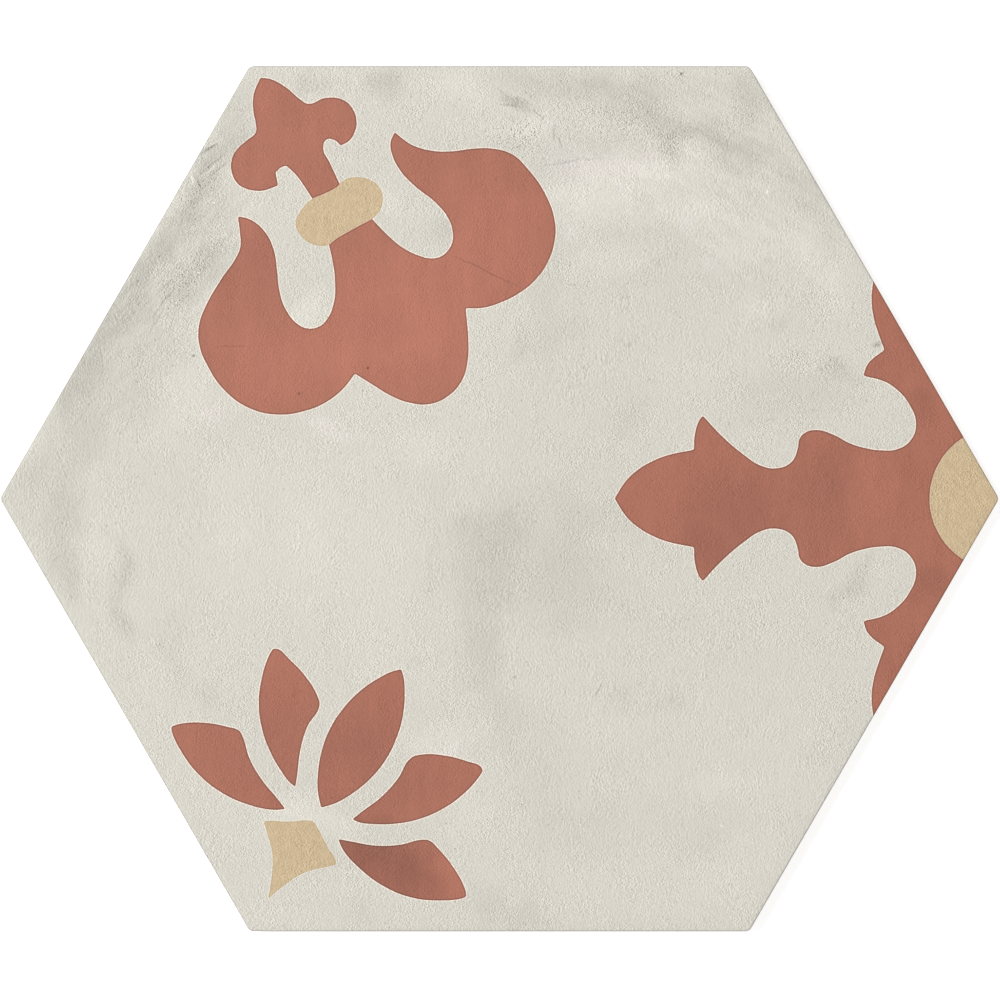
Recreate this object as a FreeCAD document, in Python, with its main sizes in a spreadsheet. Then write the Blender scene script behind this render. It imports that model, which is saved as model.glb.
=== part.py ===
# Hexagon floor tile: one dry-pressed porcelain piece, fired once, lying face up.
# Origin: centre of the back, in the plane that the tile rests on. +X points at a corner, +Y at a
# flat side and +Z out of the face. Sizes are in millimetres and degrees.
import FreeCAD, Part
import math
import os
import Sketcher

PART_NAME = "hexagon_tile"
SIDES = 6
UPWARDS = FreeCAD.Vector(0, 0, 1)

# The driving dimensions. The sheet holds them, and every feature reads them from there.
SIZES = {
    "across_flats": 255.0,
    "thickness": 9.5,
    "corner_rounding": 2.0,  # of the six upright corners, seen from above
    "face_edge_rounding": 0.7,  # the punch leaves the face's edge softly rounded
    "joint_face_height": 5.0,  # the straight upper part of each side, which the grout joint meets
    "side_draft": 7.0,  # the lower part of each side leans in, so that the tile leaves its die
    "back_bevel": 0.8,
    "key_pitch": 23.5,  # from one honeycomb key of the back to the next
    "key_rib": 3.4,  # the rib between two keys, where it meets the bedding
    "key_depth": 0.9,
    "key_draft": 35.0,  # the rubber-faced punch presses soft walls, this far from upright
    "plain_margin": 9.0,  # the least plain rim between the keys and the back's bevel
}

# Values that follow from the sheet, as expressions that the features share.
CORNER_CENTRE_CIRCLE = "(Sizes.across_flats / 2 - Sizes.corner_rounding) / cos(30deg)"
DRAFTED_HEIGHT = "Sizes.thickness - Sizes.joint_face_height"
KEY_CIRCLE = "(Sizes.key_pitch - Sizes.key_rib) / 2 / cos(30deg)"
BACK_HALF_WIDTH = (
    f"(Sizes.across_flats / 2 - ({DRAFTED_HEIGHT}) * tan(Sizes.side_draft * 1deg)"
    " - Sizes.back_bevel)"
)
KEY_RINGS = (
    f"floor(({BACK_HALF_WIDTH} - Sizes.plain_margin - {KEY_CIRCLE})"
    " / (Sizes.key_pitch * cos(30deg)))"
)


def make_sheet(doc):
    """The spreadsheet, with one aliased row for each driving dimension."""
    sheet = doc.addObject("Spreadsheet::Sheet", "Sizes")
    for row, (name, value) in enumerate(SIZES.items(), start=1):
        sheet.set(f"A{row}", name)
        sheet.set(f"B{row}", str(value))
        sheet.setAlias(f"B{row}", name)
    doc.recompute()
    return sheet


def origin_feature(body, role):
    """The body's own origin plane or axis with that role."""
    return next(f for f in body.Origin.OriginFeatures if f.Role == role)


def flat_sketch(body, name):
    """An empty sketch on the body's XY plane."""
    sketch = body.newObject("Sketcher::SketchObject", name)
    sketch.AttachmentSupport = [(origin_feature(body, "XY_Plane"), "")]
    sketch.MapMode = "FlatFace"
    return sketch


def around(first_angle, radius):
    """Six points at that radius, evenly turned about the origin."""
    points = []
    for k in range(SIDES):
        turn = FreeCAD.Rotation(UPWARDS, first_angle + k * 360 / SIDES)
        points.append(turn.multVec(FreeCAD.Vector(radius, 0, 0)))
    return points


def guide_circle(sketch, rough_radius, radius):
    """A construction circle about the sketch's origin, whose radius follows an expression."""
    circle = sketch.addGeometry(Part.Circle(FreeCAD.Vector(), UPWARDS, rough_radius), True)
    sketch.addConstraint(Sketcher.Constraint("Coincident", circle, 3, -1, 1))
    size = sketch.addConstraint(Sketcher.Constraint("Radius", circle, rough_radius))
    sketch.renameConstraint(size, "guide_radius")
    sketch.setExpression("Constraints.guide_radius", radius)
    return circle


def outline_sketch(body, sheet):
    """The tile from above: a hexagon with rounded corners, one of which points along X."""
    sketch = flat_sketch(body, "Outline")
    rounding = sheet.corner_rounding
    guide_radius = (sheet.across_flats / 2 - rounding) / math.cos(math.radians(30))
    centres = around(0, guide_radius)
    offsets = around(-30, rounding)
    sides = []
    corners = []
    for k in range(SIDES):
        following = (k + 1) % SIDES
        start = centres[k] + offsets[following]
        end = centres[following] + offsets[following]
        sides.append(sketch.addGeometry(Part.LineSegment(start, end), False))
    for k in range(SIDES):
        middle = math.radians(k * 360 / SIDES)
        half_turn = math.radians(180 / SIDES)
        full = Part.Circle(centres[k], UPWARDS, rounding)
        arc = Part.ArcOfCircle(full, middle - half_turn, middle + half_turn)
        corners.append(sketch.addGeometry(arc, False))

    circle = guide_circle(sketch, guide_radius, CORNER_CENTRE_CIRCLE)
    for k in range(SIDES):
        sketch.addConstraint(Sketcher.Constraint("Tangent", corners[k], 2, sides[k], 1))
        sketch.addConstraint(Sketcher.Constraint("Tangent", corners[k], 1, sides[k - 1], 2))
        sketch.addConstraint(Sketcher.Constraint("PointOnObject", corners[k], 3, circle))
    for k in range(1, SIDES):
        sketch.addConstraint(Sketcher.Constraint("Equal", corners[0], corners[k]))
    for k in range(1, SIDES):
        sketch.addConstraint(Sketcher.Constraint("Equal", sides[0], sides[k]))
    sketch.addConstraint(Sketcher.Constraint("Horizontal", sides[1]))
    size = sketch.addConstraint(Sketcher.Constraint("Radius", corners[0], rounding))
    sketch.renameConstraint(size, "corner_rounding")
    sketch.setExpression("Constraints.corner_rounding", "Sizes.corner_rounding")
    return sketch


def key_sketch(body, sheet, name):
    """A key from below: a hexagon with a flat side towards X, like the walls that it shares."""
    sketch = flat_sketch(body, name)
    rough_radius = (sheet.key_pitch - sheet.key_rib) / 2
    corners = around(30, rough_radius)
    sides = []
    for k in range(SIDES):
        line = Part.LineSegment(corners[k], corners[(k + 1) % SIDES])
        sides.append(sketch.addGeometry(line, False))

    circle = guide_circle(sketch, rough_radius, KEY_CIRCLE)
    for k in range(SIDES):
        joined = (sides[k - 1], 2, sides[k], 1)
        sketch.addConstraint(Sketcher.Constraint("Coincident", *joined))
        sketch.addConstraint(Sketcher.Constraint("PointOnObject", sides[k], 1, circle))
    for k in range(1, SIDES):
        sketch.addConstraint(Sketcher.Constraint("Equal", sides[0], sides[k]))
    sketch.addConstraint(Sketcher.Constraint("Vertical", sides[-1]))
    return sketch


def between(subshapes, kind, lowest, highest):
    """The names of the edges or faces that reach from one of these heights to the other."""
    names = []
    for number, subshape in enumerate(subshapes, start=1):
        heights = [vertex.Point.z for vertex in subshape.Vertexes]
        if math.isclose(min(heights), lowest, abs_tol=1e-6):
            if math.isclose(max(heights), highest, abs_tol=1e-6):
                names.append(f"{kind}{number}")
    return names


def draft(doc, body, name, base, walls, level_face, angle):
    """Leans walls about the edges where they meet a level face, so that the press lets go."""
    leaning = body.newObject("PartDesign::Draft", name)
    leaning.Base = (base, walls)
    leaning.NeutralPlane = (base, level_face)
    leaning.Reversed = True
    leaning.setExpression("Angle", angle)
    doc.recompute()
    return leaning


def press_blank(doc, body, sheet):
    """The pressed slab: drafted sides below, straight joint faces above, all edges eased. Gives
    back the outline's sketch and the last feature."""
    top = sheet.thickness
    seat = sheet.thickness - sheet.joint_face_height
    outline = outline_sketch(body, sheet)
    outline.setExpression("AttachmentOffset.Base.z", DRAFTED_HEIGHT)

    lower = body.newObject("PartDesign::Pad", "LowerSlab")
    lower.Profile = outline
    lower.Reversed = True
    lower.setExpression("Length", DRAFTED_HEIGHT)
    doc.recompute()
    sides = between(lower.Shape.Faces, "Face", 0, seat)
    level_face = between(lower.Shape.Faces, "Face", seat, seat)
    draft(doc, body, "DraftedSides", lower, sides, level_face, "Sizes.side_draft")

    upper = body.newObject("PartDesign::Pad", "JointFaces")
    upper.Profile = outline
    upper.setExpression("Length", "Sizes.joint_face_height")
    doc.recompute()

    face_edge = body.newObject("PartDesign::Fillet", "FaceEdgeRounding")
    face_edge.Base = (upper, between(upper.Shape.Edges, "Edge", top, top))
    face_edge.setExpression("Radius", "Sizes.face_edge_rounding")
    doc.recompute()

    bevel = body.newObject("PartDesign::Chamfer", "BackBevel")
    bevel.Base = (face_edge, between(face_edge.Shape.Edges, "Edge", 0, 0))
    bevel.setExpression("Size", "Sizes.back_bevel")
    doc.recompute()
    return outline, bevel


def press_key(doc, body, sheet, name, distance_from_centre):
    """One hexagonal key in the back, that far along X, with upright walls."""
    profile = key_sketch(body, sheet, f"{name}Profile")
    profile.setExpression("AttachmentOffset.Base.x", distance_from_centre)
    key = body.newObject("PartDesign::Pocket", name)
    key.Profile = profile
    key.Reversed = True
    key.setExpression("Length", "Sizes.key_depth")
    doc.recompute()
    return key


def row_pattern(doc, body, name, direction, occurrences):
    """Copies one key pitch apart, as a step of the honeycomb."""
    row = doc.addObject("PartDesign::LinearPattern", name)
    body.addObject(row)
    row.Direction = direction
    row.Mode = "Spacing"
    row.setExpression("Offset", "Sizes.key_pitch")
    row.setExpression("Occurrences", occurrences)
    return row


def press_keys(doc, body, sheet, outline):
    """The honeycomb: a middle key, and beside it a rhomb of keys that is turned three times. Its
    rows run along X and along the tile's first side. All the walls then lean in together."""
    press_key(doc, body, sheet, "MiddleKey", "0")
    first_key = press_key(doc, body, sheet, "FirstKey", "Sizes.key_pitch")

    honeycomb = body.newObject("PartDesign::MultiTransform", "Honeycomb")
    honeycomb.Originals = [first_key]
    along_x = (origin_feature(body, "X_Axis"), [""])
    along_side = (outline, ["Edge1"])
    outwards = row_pattern(doc, body, "RowOutwards", along_x, KEY_RINGS)
    sideways = row_pattern(doc, body, "RowSideways", along_side, f"{KEY_RINGS} + 1")
    turns = doc.addObject("PartDesign::PolarPattern", "Turns")
    body.addObject(turns)
    turns.Axis = (origin_feature(body, "Z_Axis"), [""])
    turns.Angle = 360
    turns.Occurrences = SIDES // 2
    honeycomb.Transformations = [outwards, sideways, turns]
    body.Tip = honeycomb
    doc.recompute()

    walls = between(honeycomb.Shape.Faces, "Face", 0, sheet.key_depth)
    level_face = between(honeycomb.Shape.Faces, "Face", 0, 0)
    leaning = draft(doc, body, "KeyWalls", honeycomb, walls, level_face, "Sizes.key_draft")
    body.Tip = leaning
    doc.recompute()
    return leaning


def pressed_key_volume(sheet):
    """What one key takes out of the slab: a hexagonal frustum."""
    mouth_width = sheet.key_pitch - sheet.key_rib
    lean = sheet.key_depth * math.tan(math.radians(sheet.key_draft))
    floor_width = mouth_width - 2 * lean
    area_per_width = math.sqrt(3) / 2
    mouth = area_per_width * mouth_width**2
    floor = area_per_width * floor_width**2
    return sheet.key_depth / 3 * (mouth + floor + math.sqrt(mouth * floor))


def check(doc, sheet, blank, keyed):
    """Stops with a message if a feature has failed, if the tile is not one valid solid, or if the
    keys did not all cut into it."""
    failed = [o.Name for o in doc.Objects if "Invalid" in o.State or "Error" in o.State]
    if failed:
        raise RuntimeError(f"These objects failed: {failed}")
    if keyed.isNull() or not keyed.isValid() or len(keyed.Solids) != 1:
        raise RuntimeError("The tile is not one valid solid.")
    rings = doc.getObject("RowOutwards").Occurrences
    keys = 1 + SIDES * rings * (rings + 1) // 2
    cut = blank.Volume - keyed.Volume
    if not math.isclose(cut, keys * pressed_key_volume(sheet), rel_tol=1e-4):
        raise RuntimeError(f"The {keys} keys took {cut:.1f} cubic millimetres.")
    print(f"{keys} keys, and {keyed.Volume:.0f} cubic millimetres in all")


def main():
    doc = FreeCAD.newDocument("HexagonTile")
    sheet = make_sheet(doc)
    body = doc.addObject("PartDesign::Body", "Tile")
    body.Label = PART_NAME
    outline, blank = press_blank(doc, body, sheet)
    keyed = press_keys(doc, body, sheet, outline)
    check(doc, sheet, blank.Shape, keyed.Shape)
    os.makedirs("parts", exist_ok=True)
    body.Shape.exportStep(f"parts/{body.Label}.step")


main()
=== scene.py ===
# Hexagon floor tile: pressed porcelain stoneware, printed like a worn encaustic cement tile.
# Lengths are in metres where they reach Blender. The print's own outlines are in millimetres.
import math

import bmesh
import bpy
from mathutils import Matrix, Vector, noise
from mathutils.bvhtree import BVHTree


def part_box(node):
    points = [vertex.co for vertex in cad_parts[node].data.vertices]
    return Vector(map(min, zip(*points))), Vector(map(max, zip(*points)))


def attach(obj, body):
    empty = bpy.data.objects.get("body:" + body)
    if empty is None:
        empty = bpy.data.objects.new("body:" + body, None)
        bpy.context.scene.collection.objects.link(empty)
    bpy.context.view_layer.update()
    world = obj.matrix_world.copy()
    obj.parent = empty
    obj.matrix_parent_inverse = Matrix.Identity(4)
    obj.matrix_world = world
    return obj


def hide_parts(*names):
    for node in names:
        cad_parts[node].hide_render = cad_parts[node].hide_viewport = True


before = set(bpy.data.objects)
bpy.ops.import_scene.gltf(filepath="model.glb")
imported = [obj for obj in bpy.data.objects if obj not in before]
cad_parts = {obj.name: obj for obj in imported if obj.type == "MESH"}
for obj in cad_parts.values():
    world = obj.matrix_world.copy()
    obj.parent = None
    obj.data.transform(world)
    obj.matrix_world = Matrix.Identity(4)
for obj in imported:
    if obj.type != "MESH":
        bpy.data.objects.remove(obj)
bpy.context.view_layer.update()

MM = 0.001
SIDES = 6
THIRTY = math.radians(30)

# The pressed tile, in metres. The node's own box gives its width and thickness.
TILE_LOW, TILE_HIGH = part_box("hexagon_tile")
HALF_WIDTH = TILE_HIGH.y
THICKNESS = TILE_HIGH.z
CORNER_ROUNDING = 2.0 * MM
CORNER_STEPS = 6
FACE_EDGE_ROUNDING = 0.7 * MM
FACE_EDGE_STEPS = 5
JOINT_FACE_HEIGHT = 5.0 * MM
SIDE_DRAFT = math.radians(7)
BACK_BEVEL = 0.8 * MM
KEY_PITCH = 23.5 * MM
KEY_RIB = 3.4 * MM
KEY_DEPTH = 0.9 * MM
KEY_DRAFT = math.radians(35)
KEY_RINGS = 5
KEY_EDGE_ROUNDING = 0.25 * MM
KEY_EDGE_STEPS = 2
KEY_COLLAR = 0.7 * MM  # flat rib that is modelled with each key
LEVEL_SLACK = 0.001 * MM  # points this close to a height lie at that height
FACING_UP = 0.9  # the least rise of a normal, for a triangle of the face

# The lattice that carries the face's slight waves, from press and kiln.
LATTICE_INSET = 3.0 * MM
LATTICE_CUTS = 63
FACE_WAVE = 0.10 * MM
FACE_WAVE_LENGTH = 70 * MM
FACE_WAVE_ONSET = 20 * MM  # the wave is full this far inside the lattice's rim

# The print lies this far off the tile's centre.
PRINT_SHIFT = (0.15 * MM, -0.10 * MM)
PRINT_EASING = 0.5 * MM  # how far from a sharp corner the ink's line starts to turn
PRINT_TURN = 0.6  # share of that way by which the line's handles reach towards the corner
PRINT_STEPS = 8  # of the line between two points of an outline
SCORE_DEPTH = 0.9 * MM  # how far below and above the face the walls reach that cut it
SCORE_HEIGHT = 1.0 * MM

# The depth inside an ink's edge is stored on the mesh's points. Lines of the mesh that end this
# near the edge are halved where the depth along them bends by more than the second length.
INK_REACH = 3.0
INK_NEAR = 0.5
INK_BEND = 0.06
INK_PASSES = 3

# Outlines of the print, in millimetres. The first number runs outwards along the motif's axis, the
# second across it. A point that ends in SHARP is a corner, and the line is smooth elsewhere.
SHARP = True

# The rosette arm fills the tile's right corner. This is its upper half, and it ends off the tile.
ROSETTE_HALF = [
    (33.8, 0, SHARP), (37.3, 5.3), (40.8, 8.5), (44.9, 10.9), (49.2, 12.6), (57.2, 14.3, SHARP),
    (57.4, 18.4), (58.7, 22.9), (59.7, 24.3, SHARP), (65.1, 18.5), (72.4, 12.3), (76.5, 9.7),
    (81.3, 8.8), (85.8, 10.6), (87.8, 14.9), (88.2, 17.3), (89.6, 19.1), (92.9, 20.1), (98.4, 18.6),
    (102.7, 16.3), (107.4, 14.8), (112.1, 14.1), (116.9, 14.4), (121, 17.1), (122.6, 22.1),
    (120.4, 28.1), (117.3, 31.8), (113.3, 34.5), (107.1, 36.2, SHARP), (108.1, 39.1), (109.6, 40.9),
    (113.3, 43.7, SHARP), (111.6, 48.4), (110.2, 53), (109.5, 58.5), (109.9, 63.2),
    (111.5, 72, SHARP), (165, 72, SHARP),
]
SAND_DISC_CENTRE = (147.7, 0.15)
SAND_DISC_RADIUS = 21.2

# The fleur stands on the upper left corner: a finial, a sand collar and a wide tulip.
FINIAL = [
    (142.7, -0.9, SHARP), (139.4, 3.2), (134.8, 5.9), (131.8, 6.9), (129.4, 8.3), (128.7, 11.6),
    (127.8, 15.7), (126.4, 18), (123.2, 20.1), (119.1, 20.4), (116.7, 19.1), (114.9, 17.2),
    (113.6, 14.9), (112.7, 10.5, SHARP), (116.5, 9.2, SHARP), (116.9, 6.7), (116.5, 5.3, SHARP),
    (112.6, 4.2), (107.2, 3.7), (104, 3.5, SHARP), (100.5, 3.3, SHARP), (100.5, -5.5, SHARP),
    (103.8, -5.4, SHARP), (110.4, -6), (115.7, -6.6), (117.3, -8.7), (115.8, -10.8),
    (113.6, -11.5, SHARP), (113.7, -14.5), (115, -16.9), (117, -18.7), (120.8, -19.8),
    (124.7, -18.8), (127.9, -14.6), (129, -9.2), (131.3, -7.8), (136.4, -6), (140.9, -3.2),
]
COLLAR = [
    (90.5, 0), (90.4, -5), (90.3, -8.5), (90.9, -11.1), (92.3, -13.1), (94.8, -14.8), (97.4, -15.1),
    (100.2, -14.1), (102.3, -12.1), (103.7, -9.9), (104.3, -7.4), (103.6, -4), (103.8, 0),
    (104.2, 4), (103.7, 6.4), (102.7, 8.6), (101.2, 10.9), (98.8, 12.1), (96.4, 12), (93.9, 11.2),
    (91.7, 9.4), (90.2, 6.9), (90.5, 3),
]
TULIP = [
    (109, -27.1, SHARP), (107.2, -24.8), (104.6, -23.5), (98.6, -23), (92.8, -24.3), (84.4, -27.5),
    (78.5, -28.2), (75.5, -27.5), (72.9, -26.1), (71.1, -23.6), (70.5, -20.7), (71.4, -17.9),
    (73.4, -15.6), (78.3, -12.2), (83.9, -10.1), (90.3, -8.5, SHARP), (94, -8.5, SHARP),
    (94, 6, SHARP), (90.4, 6, SHARP), (85, 7.7), (79.5, 10.1), (74.5, 13.4), (71, 18.2),
    (70.6, 21.1), (71.7, 23.9), (74.1, 25.8), (79.9, 26.8), (85.8, 25.6), (91.3, 23.2),
    (96.8, 21.1), (102.8, 20.7), (108.3, 22.8), (110.6, 25.2, SHARP), (105.6, 27.3), (102.9, 28.7),
    (100.9, 30.9), (96.9, 39), (92.4, 46.7), (88.5, 51.2), (83.3, 54), (77.3, 54.9), (68.4, 54.2),
    (60.3, 50.6), (54.2, 44), (51, 35.6), (50.4, 29.7), (51.3, 23.8), (53.4, 18.5, SHARP),
    (47.8, 15.5), (42.5, 12.6), (37.9, 8.8), (34.6, 3.8), (34, -2.1), (35.9, -7.7), (40, -12),
    (45.1, -15.2), (53.8, -19.3, SHARP), (51.3, -24), (50, -29.9), (49.8, -35.8), (50.9, -41.7),
    (53.5, -47.1), (57.5, -51.6), (62.5, -54.7), (71.3, -56.4), (80.2, -55.6), (85.9, -53.9),
    (90.3, -49.8), (93.3, -44.6), (95.6, -39.1), (98.7, -34), (103, -29.8), (105.6, -28.4),
]

# The lotus stands on the lower left corner: a middle petal, two pairs of side petals and a sand
# kite under them. Their outlines are halves, or are one petal of a mirrored pair.
LOTUS_MIDDLE_HALF = [
    (58, 0, SHARP), (59.9, 1.9), (62.8, 3.9), (69.3, 7.1), (76.4, 8.9), (83.6, 9.3), (90.7, 8.1),
    (97.4, 5.5), (101.5, 3.1), (105, 0, SHARP),
]
LOTUS_INNER_LEFT = [
    (79.2, 15.5), (86.4, 15.2), (93.4, 13.7), (100.1, 10.9), (103.4, 9.6, SHARP), (103.1, 11.8),
    (101.7, 15.1), (98, 21.3), (93.3, 26.6), (87.5, 30.9), (81, 33.9), (74, 35.5),
    (71.8, 35.6, SHARP), (71.1, 34.3), (71.7, 30.7), (73.6, 23.8), (77, 17.4),
]
LOTUS_INNER_RIGHT = [
    (79.3, -15.7), (86.4, -15.7), (93.5, -14), (100.2, -11.2), (103.5, -9.9, SHARP), (103.2, -11.8),
    (101.8, -15.2), (98.2, -21.4), (93.5, -26.9), (87.7, -31.3), (81.1, -34.2), (74, -35.8),
    (71.6, -35.8, SHARP), (71, -34.3), (71.8, -30.7), (73.8, -23.9), (77.2, -17.6),
]
LOTUS_OUTER_LEFT = [
    (110.6, 8.9, SHARP), (112.6, 11.8), (114.8, 18.6), (115.8, 27.6), (114.5, 36.4), (111.6, 43),
    (107.6, 48.9), (106.3, 49.9, SHARP), (104.8, 48.6), (101, 42.6), (98.4, 35.9), (97.6, 32.4),
    (98.2, 30.7), (103, 25.4), (106.8, 19.3), (109.3, 12.6),
]
LOTUS_OUTER_RIGHT = [
    (110.7, -9.2, SHARP), (112.5, -11.9), (114.8, -18.6), (115.8, -27.6), (114.5, -36.4),
    (111.8, -43.1), (107.8, -49.2), (106.5, -50.3, SHARP), (104.7, -48.7), (100.8, -42.7),
    (98.3, -35.9), (97.6, -32.4), (98.4, -30.9), (103.2, -25.6), (106.8, -19.3), (109.3, -12.6),
]
KITE = [
    (109.8, 0), (110.8, 2), (112.6, 4.9), (114.5, 7.9), (116.2, 11.2), (117.3, 12, SHARP),
    (119, 10.3), (124, 5.2), (130.2, 1.9), (136, -0.3, SHARP), (130.4, -2.4), (124.3, -5.6),
    (119.2, -10.5), (117.1, -12.7, SHARP), (115.9, -11.3), (114.3, -8), (112.5, -5), (110.5, -2.1),
]
ROSETTE_SHIFT = 0.16
LOTUS_SHIFT = -0.14
ROSETTE_TURN = 0
FLEUR_TURN = 120
LOTUS_TURN = 240


# The outlines as flat stencils

def mirrored(half, shift):
    """The whole outline of a motif that is alike on both sides, whose middle lies that far off
    the axis."""
    whole = half + [(along, -across, *rest) for along, across, *rest in reversed(half) if across]
    return [(along, across + shift, *rest) for along, across, *rest in whole]


def round_outline(centre, radius):
    """A circle, as points along and across the motif's axis."""
    along, across = centre
    turns = [math.radians(15 * k) for k in range(24)]
    return [(along + radius * math.cos(t), across + radius * math.sin(t)) for t in turns]


TERRACOTTA_PARTS = [
    (mirrored(ROSETTE_HALF, ROSETTE_SHIFT), ROSETTE_TURN),
    (FINIAL, FLEUR_TURN),
    (TULIP, FLEUR_TURN),
    (mirrored(LOTUS_MIDDLE_HALF, LOTUS_SHIFT), LOTUS_TURN),
    (LOTUS_INNER_LEFT, LOTUS_TURN),
    (LOTUS_INNER_RIGHT, LOTUS_TURN),
    (LOTUS_OUTER_LEFT, LOTUS_TURN),
    (LOTUS_OUTER_RIGHT, LOTUS_TURN),
]
SAND_PARTS = [
    (round_outline(SAND_DISC_CENTRE, SAND_DISC_RADIUS), ROSETTE_TURN),
    (COLLAR, FLEUR_TURN),
    (KITE, LOTUS_TURN),
]


def eased(outline):
    """The outline's points in metres, each with the line's way in and its way out. A sharp corner
    becomes two points close to it, between which the line turns."""
    points = []
    for index, (along, across, *sharp) in enumerate(outline):
        corner = Vector((along, across, 0)) * MM
        if not sharp:
            points.append((corner, "AUTO", "AUTO"))
            continue
        before = Vector((*outline[index - 1][:2], 0)) * MM
        after = Vector((*outline[(index + 1) % len(outline)][:2], 0)) * MM
        start = corner + (before - corner).normalized() * PRINT_EASING
        end = corner + (after - corner).normalized() * PRINT_EASING
        points.append((start, "VECTOR", start.lerp(corner, PRINT_TURN)))
        points.append((end, end.lerp(corner, PRINT_TURN), "VECTOR"))
    return points


def flat_stencil(outline, turn):
    """A filled flat mesh of one outline, turned to its corner of the tile."""
    curve = bpy.data.curves.new("stencil", "CURVE")
    curve.dimensions = "2D"
    curve.fill_mode = "BOTH"
    curve.resolution_u = PRINT_STEPS
    spline = curve.splines.new("BEZIER")
    points = eased(outline)
    spline.bezier_points.add(len(points) - 1)
    for point, (place, way_in, way_out) in zip(spline.bezier_points, points):
        point.co = place
        for side, way in (("left", way_in), ("right", way_out)):
            if isinstance(way, str):
                setattr(point, f"handle_{side}_type", way)
            else:
                setattr(point, f"handle_{side}_type", "FREE")
                setattr(point, f"handle_{side}", way)
    spline.use_cyclic_u = True
    holder = bpy.data.objects.new("stencil", curve)
    bpy.context.scene.collection.objects.link(holder)
    seen = holder.evaluated_get(bpy.context.evaluated_depsgraph_get())
    filled = bpy.data.meshes.new_from_object(seen)
    bpy.data.objects.remove(holder)
    place = Matrix.Translation((*PRINT_SHIFT, 0)) @ Matrix.Rotation(math.radians(turn), 4, "Z")
    filled.transform(place)
    return filled


def curtain(mesh, filled, low, high):
    """Adds upright walls along a stencil's outline to a bmesh, and gives back their faces."""
    before = set(mesh.faces)
    mesh.from_mesh(filled)
    flat = [face for face in mesh.faces if face not in before]
    rim = [edge for face in flat for edge in face.edges if edge.is_boundary]
    bmesh.ops.translate(mesh, verts=list({v for f in flat for v in f.verts}), vec=(0, 0, low))
    raised = bmesh.ops.extrude_edge_only(mesh, edges=rim)["geom"]
    upper = [item for item in raised if isinstance(item, bmesh.types.BMVert)]
    bmesh.ops.translate(mesh, verts=upper, vec=(0, 0, high - low))
    bmesh.ops.delete(mesh, geom=flat, context="FACES")
    return [item for item in raised if isinstance(item, bmesh.types.BMFace)]


# The pressed body

def draw_hexagon(mesh, half_width, place):
    """A flat hexagon of that half width, in its place. Gives back its corners."""
    return bmesh.ops.create_circle(
        mesh,
        cap_ends=True,
        segments=SIDES,
        radius=half_width / math.cos(THIRTY),
        matrix=place,
    )["verts"]


def soften(mesh, geom, size, steps, affect="EDGES"):
    """Rounds edges or corners in that many steps."""
    bmesh.ops.bevel(
        mesh,
        geom=geom,
        offset=size,
        segments=steps,
        profile=0.5,
        affect=affect,
        material=-1,
    )


def extrude_face(mesh, face, rise, spread):
    """Raises a face by that much, leaving walls behind, and scales it from the tile's centre."""
    raised = bmesh.ops.extrude_face_region(mesh, geom=[face])["geom"]
    verts = [item for item in raised if isinstance(item, bmesh.types.BMVert)]
    bmesh.ops.translate(mesh, verts=verts, vec=(0, 0, rise))
    bmesh.ops.scale(mesh, verts=verts, vec=(spread, spread, 1))
    return next(item for item in raised if isinstance(item, bmesh.types.BMFace))


def level_edges(mesh, height):
    """The edges that lie at one height."""
    found = []
    for edge in mesh.edges:
        if all(math.isclose(v.co.z, height, abs_tol=LEVEL_SLACK) for v in edge.verts):
            found.append(edge)
    return found


def press_slab(mesh):
    """The plain slab, with its drafted and straight sides and its eased edges."""
    foot_share = 1 - (THICKNESS - JOINT_FACE_HEIGHT) * math.tan(SIDE_DRAFT) / HALF_WIDTH
    corners = draw_hexagon(mesh, HALF_WIDTH, Matrix.Rotation(THIRTY, 4, "Z"))
    soften(mesh, corners, CORNER_ROUNDING * math.tan(THIRTY), CORNER_STEPS, "VERTICES")
    bmesh.ops.scale(mesh, verts=mesh.verts[:], vec=(foot_share, foot_share, 1))
    foot = mesh.faces[:][0]
    seat = extrude_face(mesh, foot, THICKNESS - JOINT_FACE_HEIGHT, 1 / foot_share)
    extrude_face(mesh, seat, JOINT_FACE_HEIGHT, 1)
    bmesh.ops.delete(mesh, geom=[seat], context="FACES_ONLY")
    bmesh.ops.recalc_face_normals(mesh, faces=mesh.faces[:])
    soften(mesh, level_edges(mesh, THICKNESS), FACE_EDGE_ROUNDING, FACE_EDGE_STEPS)
    soften(mesh, level_edges(mesh, 0), BACK_BEVEL, 1)
    long_edges = [edge for edge in mesh.edges if edge.calc_length() > HALF_WIDTH]
    bmesh.ops.subdivide_edges(mesh, edges=long_edges, cuts=LATTICE_CUTS, use_grid_fill=True)


def open_rim(mesh, height):
    """Takes out the largest face at that height, and leaves its rim open."""
    level = [f for f in mesh.faces if abs(f.calc_center_median().z - height) < LEVEL_SLACK]
    widest = max(level, key=lambda f: f.calc_area())
    bmesh.ops.delete(mesh, geom=[widest], context="FACES_ONLY")


def close_rims(mesh, upwards):
    """Fills the level gap between all the open rims."""
    rims = [edge for edge in mesh.edges if edge.is_boundary]
    bmesh.ops.triangle_fill(mesh, edges=rims, normal=(0, 0, upwards), use_beauty=True)


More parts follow.
